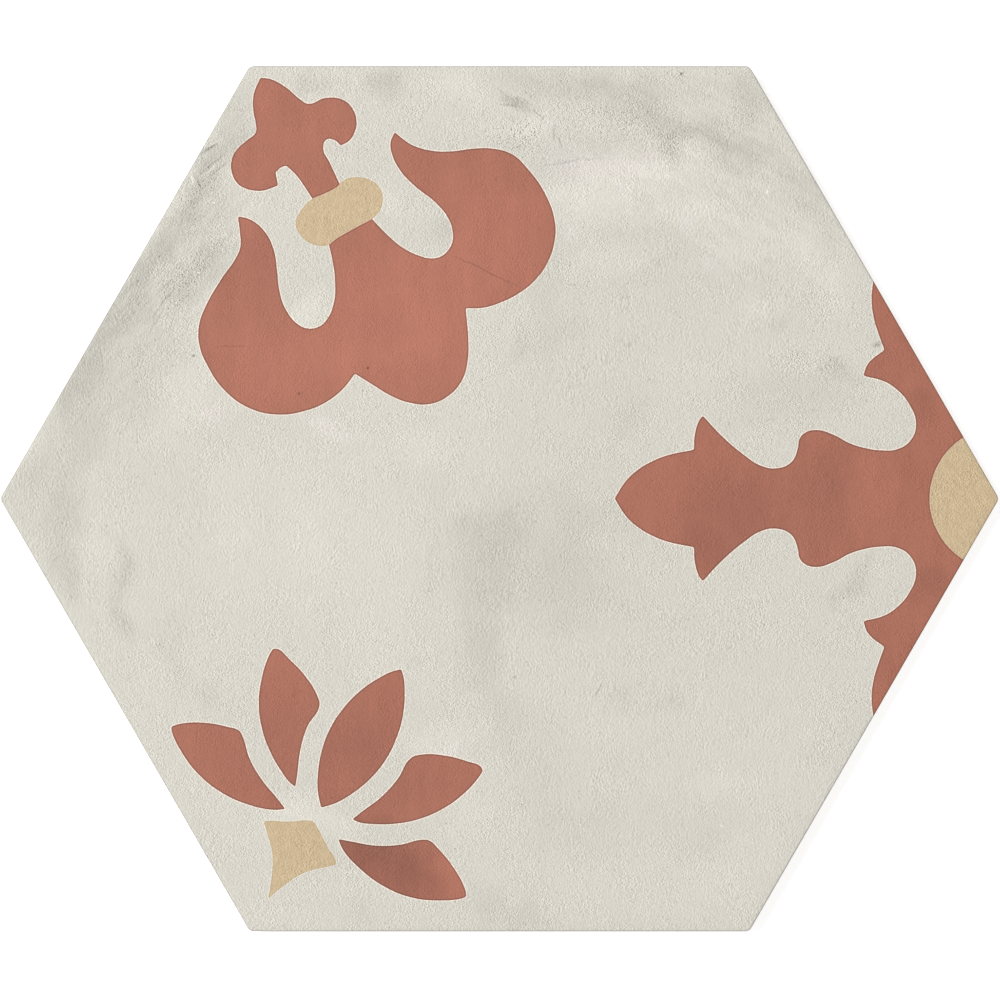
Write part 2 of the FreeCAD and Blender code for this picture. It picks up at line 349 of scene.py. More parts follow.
def press_key(mesh, x, y):
    """One key of the back: a shallow hexagonal cup with soft edges, and the rib close round it."""
    half_mouth = (KEY_PITCH - KEY_RIB) / 2
    cup = draw_hexagon(mesh, half_mouth + KEY_COLLAR, Matrix.Translation((x, y, 0)))
    floor = cup[0].link_faces[0]
    if floor.normal.z > 0:
        floor.normal_flip()
    inset = dict(use_boundary=True, use_even_offset=True)
    bmesh.ops.inset_region(mesh, faces=[floor], thickness=KEY_COLLAR, depth=0, **inset)
    soft = list(floor.edges)
    lean = KEY_DEPTH * math.tan(KEY_DRAFT)
    bmesh.ops.inset_region(mesh, faces=[floor], thickness=lean, depth=0, **inset)
    bmesh.ops.translate(mesh, verts=floor.verts[:], vec=(0, 0, KEY_DEPTH))
    soft += list(floor.edges)
    soften(mesh, soft, KEY_EDGE_ROUNDING, KEY_EDGE_STEPS)


def press_back(mesh):
    """The honeycomb of keys, and the level ribs and rim between them."""
    open_rim(mesh, 0)
    for row in range(-KEY_RINGS, KEY_RINGS + 1):
        for step in range(-KEY_RINGS, KEY_RINGS + 1):
            if abs(row + step) <= KEY_RINGS:
                x = KEY_PITCH * (step + row / 2)
                y = KEY_PITCH * row * math.cos(THIRTY)
                press_key(mesh, x, y)
    close_rims(mesh, -1)


def lay_face(mesh):
    """The face, as a fine lattice of triangles inside a plain rim."""
    open_rim(mesh, THICKNESS)
    place = Matrix.Translation((0, 0, THICKNESS)) @ Matrix.Rotation(THIRTY, 4, "Z")
    ring = draw_hexagon(mesh, HALF_WIDTH - LATTICE_INSET, place)
    fan = bmesh.ops.poke(mesh, faces=ring[0].link_faces[:])["faces"]
    spokes = list({edge for face in fan for edge in face.edges})
    bmesh.ops.subdivide_edges(mesh, edges=spokes, cuts=LATTICE_CUTS, use_grid_fill=True)
    close_rims(mesh, 1)


def score_face(tile):
    """Cuts the face along every ink edge, so that the ink ends on the mesh's own lines."""
    low = THICKNESS - SCORE_DEPTH
    high = THICKNESS + SCORE_HEIGHT
    cutting = 1
    scored = bmesh.new()
    scored.from_mesh(tile.data)
    for outline, turn in TERRACOTTA_PARTS + SAND_PARTS:
        filled = flat_stencil(outline, turn)
        for wall in curtain(scored, filled, low, high):
            wall.material_index = cutting
        bpy.data.meshes.remove(filled)
    scored.to_mesh(tile.data)
    scored.free()

    bpy.ops.object.select_all(action="DESELECT")
    tile.select_set(True)
    bpy.context.view_layer.objects.active = tile
    bpy.ops.object.mode_set(mode="EDIT")
    bpy.ops.mesh.select_mode(type="FACE")
    edited = bmesh.from_edit_mesh(tile.data)
    for face in edited.faces:
        face.select_set(face.material_index == cutting)
    bmesh.update_edit_mesh(tile.data)
    bpy.ops.mesh.intersect(mode="SELECT_UNSELECT", separate_mode="NONE", solver="EXACT")
    bpy.ops.object.mode_set(mode="OBJECT")

    scored = bmesh.new()
    scored.from_mesh(tile.data)
    walls = [face for face in scored.faces if face.material_index == cutting]
    bmesh.ops.delete(scored, geom=walls, context="FACES")
    bmesh.ops.triangulate(scored, faces=[f for f in scored.faces if f.normal.z > FACING_UP])
    scored.to_mesh(tile.data)
    scored.free()


class Ink:
    """One ink of the print, as a stencil that tells how far inside its edge a point lies."""

    def __init__(self, name, parts):
        self.name = name
        flat = bmesh.new()
        edge = bmesh.new()
        for outline, turn in parts:
            filled = flat_stencil(outline, turn)
            flat.from_mesh(filled)
            curtain(edge, filled, -MM, MM)
            bpy.data.meshes.remove(filled)
        self.inside = BVHTree.FromBMesh(flat)
        self.edge = BVHTree.FromBMesh(edge)
        flat.free()
        edge.free()

    def depth(self, point):
        """Millimetres inside the ink's edge, or below zero outside, and no more than the reach."""
        level = Vector((point.x, point.y, 0))
        distance = self.edge.find_nearest(level)[3]
        above = level + Vector((0, 0, 1))
        if self.inside.ray_cast(above, Vector((0, 0, -1)))[0] is None:
            distance = -distance
        return max(-INK_REACH, min(INK_REACH, distance / MM))

    def bends(self, edge, layer):
        """Whether the depth bends along an edge of the face that ends near the ink's edge."""
        first, last = edge.verts
        if min(first.co.z, last.co.z) < THICKNESS - LEVEL_SLACK:
            return False
        if min(abs(first[layer]), abs(last[layer])) > INK_NEAR:
            return False
        expected = (first[layer] + last[layer]) / 2
        return abs(self.depth((first.co + last.co) / 2) - expected) > INK_BEND

    def mark(self, tile):
        """Stores the depth on every point of the tile, and adds points where it bends."""
        marked = bmesh.new()
        marked.from_mesh(tile.data)
        layer = marked.verts.layers.float.new(self.name)
        fresh = marked.verts[:]
        for step in range(INK_PASSES):
            for vertex in fresh:
                vertex[layer] = self.depth(vertex.co)
            bent = [edge for edge in marked.edges if self.bends(edge, layer)]
            added = bmesh.ops.subdivide_edges(marked, edges=bent, cuts=1)["geom_inner"]
            fresh = [item for item in added if isinstance(item, bmesh.types.BMVert)]
            wide = [f for f in marked.faces if f.normal.z > FACING_UP and len(f.verts) > 3]
            bmesh.ops.triangulate(marked, faces=wide)
        for vertex in fresh:
            vertex[layer] = self.depth(vertex.co)
        marked.to_mesh(tile.data)
        marked.free()


def wave_face(tile):
    """Lets the face sink and rise a little, as pressed and fired faces do, but never above the
    rim."""
    reach = HALF_WIDTH - LATTICE_INSET
    for vertex in tile.data.vertices:
        if vertex.co.z > THICKNESS - LEVEL_SLACK:
            turned = math.atan2(vertex.co.y, vertex.co.x) % (math.pi / 3) - THIRTY
            from_centre = math.hypot(vertex.co.x, vertex.co.y) * math.cos(turned)
            inwards = max(0.0, min(1.0, (reach - from_centre) / FACE_WAVE_ONSET))
            swell = noise.noise(vertex.co / FACE_WAVE_LENGTH)
            vertex.co.z -= FACE_WAVE * inwards * (0.5 + 0.5 * swell)


# Where the surfaces lie in the baked picture, as (left, low, width, height) of its square

FACE_AREA = (0.005, 0.265, 0.99, 0.73)
BACK_AREA = (0.005, 0.005, 0.29, 0.25)
SIDE_AREA = (0.31, 0.01, 0.33, 0.07)
SIDE_STEP = (0.345, 0.08)
SIDE_RISE = 0.35  # the most rise or fall of a normal, for a face of the sides
KEY_WALL_FALL = 0.1  # the least fall of a normal, for a face of the keys' walls


def lay_out_bake(tile):
    """Gives the face most of the baked picture, and the back and the six sides the rest."""
    layer = tile.data.uv_layers.new(name="OFBake")
    tile.data.uv_layers.active = layer
    width = TILE_HIGH.x - TILE_LOW.x
    depth = TILE_HIGH.y - TILE_LOW.y
    side_length = width / 2
    for face in tile.data.polygons:
        upwards = face.normal.z
        for index in face.loop_indices:
            point = tile.data.vertices[tile.data.loops[index].vertex_index].co
            across = (point.x - TILE_LOW.x) / width
            deep = (point.y - TILE_LOW.y) / depth
            area = FACE_AREA
            if upwards < -SIDE_RISE or face.center.z < KEY_DEPTH and upwards < -KEY_WALL_FALL:
                area = BACK_AREA
                across = 1 - across
            elif upwards < SIDE_RISE:
                middle = math.atan2(face.center.y, face.center.x)
                side = round((math.degrees(middle) - 30) / 60) % SIDES
                facing = math.radians(30 + 60 * side)
                along = point.y * math.cos(facing) - point.x * math.sin(facing)
                across = 0.5 + along / side_length
                deep = point.z / THICKNESS
                left = SIDE_AREA[0] + SIDE_STEP[0] * (side % 2)
                low = SIDE_AREA[1] + SIDE_STEP[1] * (side // 2)
                area = (left, low, SIDE_AREA[2], SIDE_AREA[3])
            layer.data[index].uv = (area[0] + area[2] * across, area[1] + area[3] * deep)


# Finishes

# Heights on the tile and depths inside an ink's edge, in millimetres
ARRIS_SHADE_HEIGHTS = (9.30, 9.46)  # from where the painted shade on the face's rounded edge is darkest to where it ends
MIST = (7.2, 9.0)  # from where the glaze's mist starts to where it is thickest
RIB_WASH = (0.06, 0.30)  # from where the ribs' wash is whole to where it ends
TERRACOTTA_EDGE = (-0.13, -0.03)
SAND_EDGE = (-0.05, 0.05)
HALO_LINE = (-0.36, -0.08)
SAND_HALO_LINE = (-0.30, 0.0)
RIM_LINE = (-0.12, 0.34)
SEAM_LINE = (-0.36, 0.0)
SAND_RIM_LINE = (0.02, 0.24)
PEACH_LINE = (0.0, 0.24)
LINE_SOFTNESS = 0.06

# A pit's floor and rim, as shares of its spacing
PIT_FLOOR = 0.08
PIT_RIM = 0.26
ARRIS_SHADE_TONE = 0.74  # of the rounded edge's painted shade, as a share of the face's own colour


def paint(red, green, blue):
    """A colour's own strengths, from the three screen values that it is known by."""
    shares = []
    for value in (red, green, blue):
        share = value / 255
        shares.append(share / 12.92 if share <= 0.04045 else ((share + 0.055) / 1.055) ** 2.4)
    return (*shares, 1)


FIELD = paint(218, 214, 203)
FIELD_BLUSH = paint(222, 215, 209)
TERRACOTTA = paint(175, 111, 91)
TERRACOTTA_RIM = paint(144, 90, 76)
TERRACOTTA_HALO = paint(253, 239, 223)
SAND = paint(208, 185, 149)
SAND_RIM = paint(198, 173, 133)
SAND_HALO = paint(228, 223, 211)
SAND_ON_TERRACOTTA = paint(224, 190, 160)
STONEWARE = paint(196, 187, 170)
KILN_WASH = paint(226, 223, 214)
GLAZE_MIST = paint(214, 209, 198)


class Nodes:
    """The nodes of a material or of the world, added one by one."""

    def __init__(self, owner):
        owner.use_nodes = True
        self.tree = owner.node_tree

    def add(self, kind, *values, **settings):
        """Adds a node, and feeds the values to its first sockets."""
        node = self.tree.nodes.new(kind)
        for name, setting in settings.items():
            setattr(node, name, setting)
        for socket, value in zip(node.inputs, values):
            self.feed(socket, value)
        return node

    def feed(self, socket, value):
        """Links a socket to another node's result, or sets it to a plain value."""
        if isinstance(value, bpy.types.NodeSocket):
            self.tree.links.new(value, socket)
        else:
            socket.default_value = value

    def reckon(self, operation, first, second=0.0, third=0.0, clamped=False):
        way = dict(operation=operation, use_clamp=clamped)
        return self.add("ShaderNodeMath", first, second, third, **way).outputs[0]


class Finish(Nodes):
    """A material of the tile. Places are in millimetres on the tile."""

    def __init__(self, name, dimensions="3D"):
        self.dimensions = dimensions
        self.material = bpy.data.materials.new(name)
        super().__init__(self.material)
        self.shader = self.tree.nodes["Principled BSDF"]
        on_tile = self.add("ShaderNodeTexCoord").outputs["Object"]
        self.place = self.vector("MULTIPLY", on_tile, (1 / MM, 1 / MM, 1 / MM))

    def vector(self, operation, first, second):
        return self.add("ShaderNodeVectorMath", first, second, operation=operation).outputs[0]

    def dot(self, first, second):
        node = self.add("ShaderNodeVectorMath", first, second, operation="DOT_PRODUCT")
        return node.outputs["Value"]

    def times(self, first, second):
        return self.reckon("MULTIPLY", first, second)

    def layer(self, value, strength, total):
        """The total, with the value added at that strength."""
        return self.reckon("MULTIPLY_ADD", value, strength, total)

    def ramp(self, value, low, high, start=0.0, end=1.0):
        """Goes smoothly from start to end as the value goes from low to high."""
        node = self.add("ShaderNodeMapRange", value, low, high, start, end)
        node.interpolation_type = "SMOOTHSTEP"
        return node.outputs["Result"]

    def noise(self, place, detail):
        """Noise whose lumps are one unit of the place wide."""
        node = self.add("ShaderNodeTexNoise", noise_dimensions=self.dimensions)
        self.feed(node.inputs["Vector"], place)
        self.feed(node.inputs["Scale"], 1.0)
        self.feed(node.inputs["Detail"], detail)
        return node

    def cloud(self, grain, detail=2.0, roughness=0.5, stretch=(1, 1, 1), place=None):
        """Noise about zero, whose lumps are that many millimetres wide."""
        spread = self.vector("DIVIDE", place or self.place, [grain * s for s in stretch])
        node = self.noise(spread, detail)
        self.feed(node.inputs["Roughness"], roughness)
        return self.layer(node.outputs["Fac"], 2.0, -1.0)

    def blend(self, share, first, second):
        """The first colour at share 0 and the second at share 1."""
        node = self.add("ShaderNodeMix", data_type="RGBA")
        self.feed(node.inputs["Factor"], share)
        self.feed(node.inputs["A"], first)
        self.feed(node.inputs["B"], second)
        return node.outputs["Result"]

    def touch(self, place, x, y, long, wide, turn):
        """A soft oval, 1 at its middle and 0 at its rim, of those half lengths. The place's third
        number is 1."""
        east = math.cos(math.radians(turn))
        north = math.sin(math.radians(turn))
        lengthwise = (east / long, north / long, -(x * east + y * north) / long)
        crosswise = (-north / wide, east / wide, (x * north - y * east) / wide)
        along = self.dot(place, lengthwise)
        across = self.dot(place, crosswise)
        square = self.layer(along, along, self.times(across, across))
        return self.reckon("MULTIPLY_ADD", square, -1.0, 1.0, clamped=True)

    def touches(self, place, marks):
        """The sum of soft ovals, each times its own strength."""
        total = 0.0
        for *oval, strength in marks:
            total = self.layer(self.touch(place, *oval), strength, total)
        return total

    def streaks(self, long, wide, turn):
        """Noise whose lumps are drawn out along one direction."""
        turned = self.add("ShaderNodeMapping", self.place, vector_type="TEXTURE")
        self.feed(turned.inputs["Rotation"], (0, 0, math.radians(turn)))
        return self.cloud(1, 4, 0.6, (long, wide, 1), turned.outputs["Vector"])

    def cells(self, place, size):
        """A loose lattice of cells of that size, as the distance to each one's middle and a chance
        number of its own."""
        node = self.add("ShaderNodeTexVoronoi", voronoi_dimensions=self.dimensions)
        self.feed(node.inputs["Vector"], self.vector("DIVIDE", place, size))
        self.feed(node.inputs["Scale"], 1.0)
        drawn = self.add("ShaderNodeSeparateColor", node.outputs["Color"])
        return node.outputs["Distance"], drawn.outputs[0]

    def grains(self, across, along, place):
        """Small irregular grains, each of one chance tone between -1 and 1."""
        drawn = self.cells(place, (across, along, across))[1]
        return self.layer(drawn, 2.0, -1.0)

    def grains_with_painted_flanks(self, across, along, shift, share):
        """Grains less a share of themselves a little to the side, so that each has a painted lit
        flank and a painted shaded flank."""
        beside = self.grains(across, along, self.vector("ADD", self.place, (shift, 0, 0)))
        return self.layer(beside, -share, self.grains(across, along, self.place))

    def line(self, depth, outer, inner):
        """1 between two depths of an ink's edge, and 0 beyond them, with soft ends."""
        rise = self.ramp(depth, outer - LINE_SOFTNESS, outer + LINE_SOFTNESS)
        fall = self.ramp(depth, inner - LINE_SOFTNESS, inner + LINE_SOFTNESS, 1, 0)
        return self.times(rise, fall)

    def pits(self, spacing, share):
        """Small round pits, 1 at their middle, at that share of the places on a loose lattice."""
        distance, drawn = self.cells(self.place, (spacing,) * 3)
        cup = self.ramp(distance, PIT_FLOOR, PIT_RIM, 1, 0)
        return self.times(cup, self.ramp(drawn, share, share * 0.7))

    def between(self, share, first, second):
        """The first number at share 0 and the second at share 1."""
        node = self.add("ShaderNodeMix", data_type="FLOAT")
        for socket, value in zip(node.inputs[:1] + node.inputs[2:4], (share, first, second)):
            self.feed(socket, value)
        return node.outputs[0]

    def scaled(self, colour, share):
        """A colour made lighter or darker."""
        node = self.add("ShaderNodeVectorMath", colour, operation="SCALE")
        self.feed(node.inputs["Scale"], share)
        return node.outputs[0]

    def relief(self, height):
        """A surface normal for a height in millimetres."""
        node = self.add("ShaderNodeBump")
        self.feed(node.inputs["Distance"], MM)
        self.feed(node.inputs["Height"], height)
        return node.outputs["Normal"]

    def height(self):
        """How high on the tile a spot lies."""
        return self.add("ShaderNodeSeparateXYZ", self.place).outputs["Z"]

    def attribute(self, name):
        return self.add("ShaderNodeAttribute", attribute_name=name).outputs["Fac"]


# Soft shades on the cement look: x, y, half length, half width, turn in degrees, and tone
SHADES = [
    # Along the upper left edge and down the left corner
    (-86, 97, 16, 7, 55, -0.18),
    (-98, 77, 22, 6, 60, -0.08),
    (-108, 62, 26, 7, 60, -0.19),
    (-121, 38, 20, 7, 62, -0.18),
    (-124, 14, 24, 8, 80, -0.12),
    (-129, -12, 20, 7, 80, -0.10),
    (-128, -25, 12, 5, 100, -0.06),
    (-86, 68, 15, 7, 30, -0.16),
    (-93, 66, 12, 3, 35, -0.05),
    (-88, 80, 18, 11, 60, -0.06),
    (-108, 40, 34, 14, 62, -0.09),
    (-112, -20, 12, 4.5, 95, -0.13),
    (-110, -36, 12, 4.5, 110, -0.13),
    (-96, -46, 16, 8, 110, -0.06),
    (-84, -58, 8, 5, 120, -0.06),
    (-122, -14, 7, 7, 0, 0.06),
    (-138, 2, 14, 16, 0, -0.08),
    (-134, 15, 16, 7, 60, -0.07),
    (-75, 120, 7, 6, 60, -0.07),
    (-90, 85, 14, 10, 60, -0.04),
    (-78, 110, 8, 12, -30, -0.10),
    # The paler left middle
    (-90, 33, 26, 8, 62, 0.06),
    (-82, 27, 10, 5, 20, 0.05),
    (-52, 22, 12, 5, 0, 0.06),
    (-56, -14, 16, 22, 0, 0.05),
    (-80, -8, 10, 26, 10, 0.03),
    (-36, -30, 14, 34, 0, 0.03),
    (-64, 8, 44, 12, 0, 0.02),
    (-22, 16, 14, 8, 0, 0.04),
    # Along the top edge and the upper right corner
    (-34, 122.5, 8, 5, 20, -0.16),
    (-56, 122, 10, 3, 20, -0.10),
    (-12, 121, 12, 7, 0, 0.07),
    (16, 122, 24, 6, -6, -0.10),
    (41, 116, 18, 10, -25, -0.12),
    (50, 110, 14, 8, -40, -0.05),
    (58, 105, 15, 3.5, -8, -0.15),
    (28, 122.5, 10, 4, 0, -0.06),
    (58, 120, 12, 6, 0, -0.04),
    (73, 118, 10, 8, -60, -0.14),
    (70, 104, 12, 7, -25, -0.12),
    (84, 96, 20, 6, -42, -0.07),
    (92, 84, 14, 6, -55, -0.05),
    (7, 108, 12, 7, -10, 0.10),
    (30, 93, 24, 10, 10, 0.08),
    (48, 98, 16, 5, 20, 0.05),
    (58, 84, 22, 6, 0, 0.07),
    (42, 92, 36, 12, 4, 0.06),
    (20, 84, 12, 12, 0, 0.08),
    (32, 71, 16, 8, 20, 0.07),
    (76, 74, 24, 10, 0, 0.05),
    (96, 66, 16, 8, -60, 0.06),
    (78, 57, 12, 5, 10, 0.06),
    (79, 69, 4, 2.5, 0, -0.10),
    (84, 50, 3, 3, 0, -0.11),
    # Right of the tulip and above the rosette arm
    (14, 62, 22, 8, 78, -0.05),
    (18, 48, 12, 6, 60, -0.06),
    (5, 46, 7, 7, 0, -0.07),
    (82, 30, 28, 11, 10, -0.05),
    (101, 37, 5, 5, 0, -0.10),
    (96, 30, 8, 8, 0, -0.03),
    (38, 24, 10, 8, 0, -0.06),
    (105, -26, 13, 3.5, 58, -0.11),
    # The dark middle, and fainter down to the bottom edge
    (-1, -7, 13, 13, 0, -0.06),
    (-5, -24, 28, 12, 92, -0.09),
    (-6, -48, 14, 10, 95, -0.09),
    (19, -8, 22, 8, 88, -0.03),
    (34, -6, 12, 9, 0, -0.04),
    (22, -28, 20, 16, 0, -0.04),
    (12, -17, 26, 26, 0, -0.065),
    (-18, -10, 22, 4, 85, -0.04),
    (2, -64, 16, 9, 110, -0.06),
    (14, -82, 22, 12, 90, -0.04),
    (22, -98, 16, 12, 0, -0.03),
    (-4, -120, 12, 8, 60, -0.07),
    (9, -124, 10, 6, 0, -0.08),
    (-40, -122, 6, 4, 0, -0.06),
    (34, -58, 8, 4, 10, -0.06),
    (50, -60, 5, 4, 0, -0.05),
    (72, -76, 40, 26, 20, 0.025),
    # Round the lotus, and in the tulip's two eyes
    (-18, -72, 14, 6, 15, 0.07),
    (-60, -92, 13, 8, 20, 0.10),
    (-50, -97, 12, 5, -30, 0.08),
    (-10, -92, 8, 12, 0, 0.04),
    (34, -68, 20, 6, 10, 0.02),
    (64, -84, 10, 7, 0, 0.05),
    (44, -114, 40, 12, 0, 0.02),
    (72, -110, 26, 14, 20, 0.03),
    (-32, 87, 8, 6, -40, 0.08),
    (-18, 78, 7, 8, 0, -0.10),
    (-56, 57, 7, 10, 0, 0.10),
]

# Tones of the terracotta, in the same form: a pale tulip, and darker petals and rosette arm
INK_SHADES = [
    (-28, 52, 36, 30, 0, 0.13),
    (-2, 80, 26, 26, 60, 0.09),
    (-62, 38, 28, 16, 0, 0.11),
    (-32, 51, 12, 8, 0, -0.06),
    (-76, 67, 9, 14, 0, -0.05),
    (-64, 114, 10, 8, 0, -0.04),
    (92, 0, 52, 52, 0, -0.07),
    (66, -3, 18, 20, 0, -0.11),
    (60, -15, 9, 9, 0, -0.10),
    (94, 0, 14, 18, 0, -0.06),
    (110, 0, 10, 16, 0, 0.10),
    (125, 27, 7, 7, 0, -0.13),
    (128, -25, 7, 8, 0, -0.13),
    (114, 45, 12, 12, 0, -0.05),
    (114, -45, 12, 12, 0, -0.05),
    (-50, -76, 56, 40, 0, -0.07),
    (-37, -70, 14, 12, 30, -0.06),
    (-26, -86, 14, 8, 20, -0.05),
    (-34, -108, 26, 14, -25, -0.30),
    (-12, -112, 8, 8, 0, 0.08),
]

# Rosy blushes on the field, in the same form
BLUSHES = [
    (29, 97, 24, 7, -12, 0.8),
    (45, 101, 8, 4, 10, 0.7),
    (14.6, 107.1, 3.5, 3, 0, 0.9),
    (20.5, 79.2, 4, 4, 0, 0.8),
    (52.9, 83.6, 5, 4, -20, 0.9),
    (61.7, 68.9, 5, 4, 0, 0.9),
    (62, 86, 4, 3, 0, 0.6),
    (-85.5, 24.7, 6, 5, 0, 0.8),
    (-51.7, 23.2, 12, 4, 0, 0.8),
    (-14.8, -72.5, 9, 4, 10, 0.7),
]

# Worn spots and scratches, in the same form. They lie over the inks as well.
MARKS = [
    (4.6, 117.0, 5.4, 1.9, -12, -0.24),
    (2.8, 115.8, 3.6, 0.5, -8, -0.22),
    (7.0, 114.6, 4.0, 1.3, -12, -0.13),
    (11.5, 113.0, 3.6, 0.4, -42, -0.22),
    (1.0, 119.2, 3.0, 0.5, -35, -0.14),
    (16.0, 108.2, 3.4, 0.5, 80, -0.25),
    (17.6, 106.0, 2.6, 0.45, 105, -0.22),
    (6.0, 103.8, 2.6, 0.45, 20, -0.20),
    (21, 99.4, 12, 0.5, 8, -0.14),
    (-4.8, 67.4, 13, 0.30, -24, -0.30),
    (-79, 44.9, 6.5, 0.28, 0, -0.22),
    (-85.6, 103.2, 3.4, 0.42, 32, -0.42),
    (-90.3, 94.0, 2.8, 0.45, -70, 0.30),
    (-88.6, 93.0, 2.4, 0.35, -64, -0.28),
    (-84.6, 98.6, 5.5, 0.40, 38, -0.22),
    (-82.8, 96.9, 5.0, 0.35, 36, -0.20),
    (-86.0, 96.2, 5.0, 0.35, 40, 0.16),
    (-93.2, 93.8, 0.9, 0.6, 60, -0.60),
    (-99.0, 58.0, 7.5, 0.55, 50, -0.22),
    (-98.2, 62.8, 4.0, 0.40, 42, -0.20),
    (-101.5, 52.0, 5.0, 0.50, 55, -0.16),
    (29.3, -56.3, 2.8, 0.45, 60, -0.20),
    (53.8, 124.8, 1.3, 0.35, 45, -0.40),
    (53.8, 124.8, 1.3, 0.35, -45, -0.40),
    (111.2, 45.3, 1.8, 1.0, 30, -0.35),
    (-90.0, 41.8, 0.6, 0.5, 0, -0.50),
    (-58.7, 31.2, 0.6, 0.6, 0, -0.50),
    (-38.4, 38.2, 0.6, 0.5, 0, -0.50),
    (4.6, -52.8, 0.6, 0.6, 0, -0.40),
    (78.8, 90.3, 0.7, 0.4, 60, 0.40),
    (65.2, -96.4, 0.5, 0.5, 0, 0.40),
    (-88.3, 66.6, 0.6, 0.5, 0, 0.40),
    (-84.0, 87.1, 0.6, 0.5, 0, 0.35),
    (38.1, 45.3, 1.0, 0.5, 80, -0.30),
]

# Places where the surface is crumbled by fine pits: x, y, half length, half width, turn, share
CRUMBLED = [
    (5.5, 107.5, 12, 9, -10, 1.6),
    (36, 110, 26, 11, -20, 0.8),
    (60, 100, 20, 8, -30, 0.6),
    (93.2, 38.5, 17, 4, -16, 1.0),
    (98, -70, 16, 6, 60, 0.8),
    (-92, 66, 22, 6, 50, 0.9),
    (-88, 92, 12, 7, 45, 1.0),
    (4, -20, 12, 18, 5, 0.5),
    (133, 4, 12, 14, 0, 0.5),
    (60, -40, 34, 22, 20, 0.35),
    (38, 45, 10, 8, 0, 0.5),
    (-48, -108, 10, 6, -20, 0.7),
    (88, 58, 14, 8, 0, 0.7),
]

# Trowel streaks that lean with a sweep of the hand: length, width, turn, strength and the oval that
# holds them
SWEEPS = [
    (9, 2.0, 42, 0.14, (-98, 72, 60, 28, 60)),
    (10, 2.4, -28, 0.11, (62, 98, 66, 40, -25)),
]

# The glaze's grain, in millimetres and as shares of its colour
GRAIN_SIZE = (0.28, 0.24)
GRAIN_SHIFT = 0.28  # from a grain's painted lit flank to its painted shaded one
GRAIN_STRENGTH = 0.23
GRAIN_TINT = (0, 0.125, 0.225)  # by how much the grain is stronger in green and blue than in red
GRAIN_RELIEF = 0.006
STROKE_SIZE = (0.30, 0.8)
STROKE_STRENGTH = 0.04
CRUMBLED_GRAIN = 0.3  # by how much rougher a crumbled place is
PIT_RELIEF = 0.06
DRIFT = 2.0  # by which scratches waver
DRIFT_LENGTH = 9.0

# How the shades' rims are made ragged
WARP = 5.0  # of the shades' rims, in millimetres
WARP_LENGTH = 12 * MM
WARP_APART = Vector((1, 2, 0))  # from the noise that shifts along x to the one that shifts along y
SHADE_FALL = 1.3  # how steeply a shade fades towards its rim


def ragged(point):
    """Coarse and fine noise at a point, about zero."""
    coarse = noise.noise(point / WARP_LENGTH)
    return coarse + 0.5 * noise.noise(point / WARP_LENGTH * 2.3)


def lay_shades(tile, name, ovals):
    """Stores the sum of soft ovals with ragged rims on every point of the tile."""
    turned = []
    for x, y, long, wide, turn, strength in ovals:
        east = math.cos(math.radians(turn))
        north = math.sin(math.radians(turn))
        turned.append((x, y, east / long, north / long, -north / wide, east / wide, strength))
    values = []
    for vertex in tile.data.vertices:
        here_x = vertex.co.x / MM + WARP * ragged(vertex.co)
        here_y = vertex.co.y / MM + WARP * ragged(vertex.co + WARP_APART)
        total = 0.0
        for x, y, along_x, along_y, across_x, across_y, strength in turned:
            off_x = here_x - x
            off_y = here_y - y
            along = off_x * along_x + off_y * along_y
            across = off_x * across_x + off_y * across_y
            total += strength * max(0.0, 1 - along * along - across * across) ** SHADE_FALL
        values.append(total)
    attribute = tile.data.attributes.new(name, "FLOAT", "POINT")
    attribute.data.foreach_set("value", values)


def glaze_grain(glaze, crumbled):
    """How rough each spot is, its pits, and its fine grain as a share of the colour."""
    patchy = glaze.ramp(glaze.cloud(9, 3, 0.6), -0.35, 0.35, 0.65, 1.25)
    rough = glaze.layer(crumbled, CRUMBLED_GRAIN, patchy)
    pits = glaze.times(glaze.pits(0.85, 0.5), crumbled)
    # The grain and the strokes carry painted light and shade on their flanks
    grain = glaze.times(glaze.grains_with_painted_flanks(*GRAIN_SIZE, GRAIN_SHIFT, 0.6), GRAIN_STRENGTH)
    struck = glaze.ramp(glaze.cloud(6, 2, 0.6), 0.10, 0.50)
    strokes = glaze.times(glaze.grains_with_painted_flanks(*STROKE_SIZE, GRAIN_SHIFT, 0.9), struck)
    fine = glaze.layer(strokes, STROKE_STRENGTH, grain)
    fine = glaze.times(fine, rough)
    fine = glaze.layer(pits, -0.5, fine)
    fine = glaze.layer(glaze.pits(1.3, 0.03), -0.28, fine)
    return rough, pits, fine


def cement_clouds(glaze, flat):
    """The clouds and trowel streaks of the field, as a share of its colour."""
    clouds = glaze.attribute("shade")
    clouds = glaze.layer(glaze.cloud(26, 5, 0.55), 0.025, clouds)
    clouds = glaze.layer(glaze.streaks(6.5, 2.2, 86), 0.030, clouds)
    for long, wide, turn, strength, region in SWEEPS:
        share = glaze.times(glaze.touch(flat, *region), strength)
        clouds = glaze.layer(glaze.streaks(long, wide, turn), share, clouds)
    return clouds


def worn_marks(glaze, flat):
    """The worn spots and scratches, on lines that waver a little."""
    drift = glaze.noise(glaze.vector("DIVIDE", glaze.place, (DRIFT_LENGTH,) * 3), 3.0)
    centred = glaze.vector("SUBTRACT", drift.outputs["Color"], (0.5, 0.5, 0.5))
    bent = glaze.vector("ADD", flat, glaze.vector("MULTIPLY", centred, (DRIFT, DRIFT, 0)))
    worn = glaze.ramp(glaze.cloud(0.7, 2, 0.7), -0.45, 0.15, 0.35, 1.2)
    return glaze.times(glaze.touches(bent, MARKS), worn)


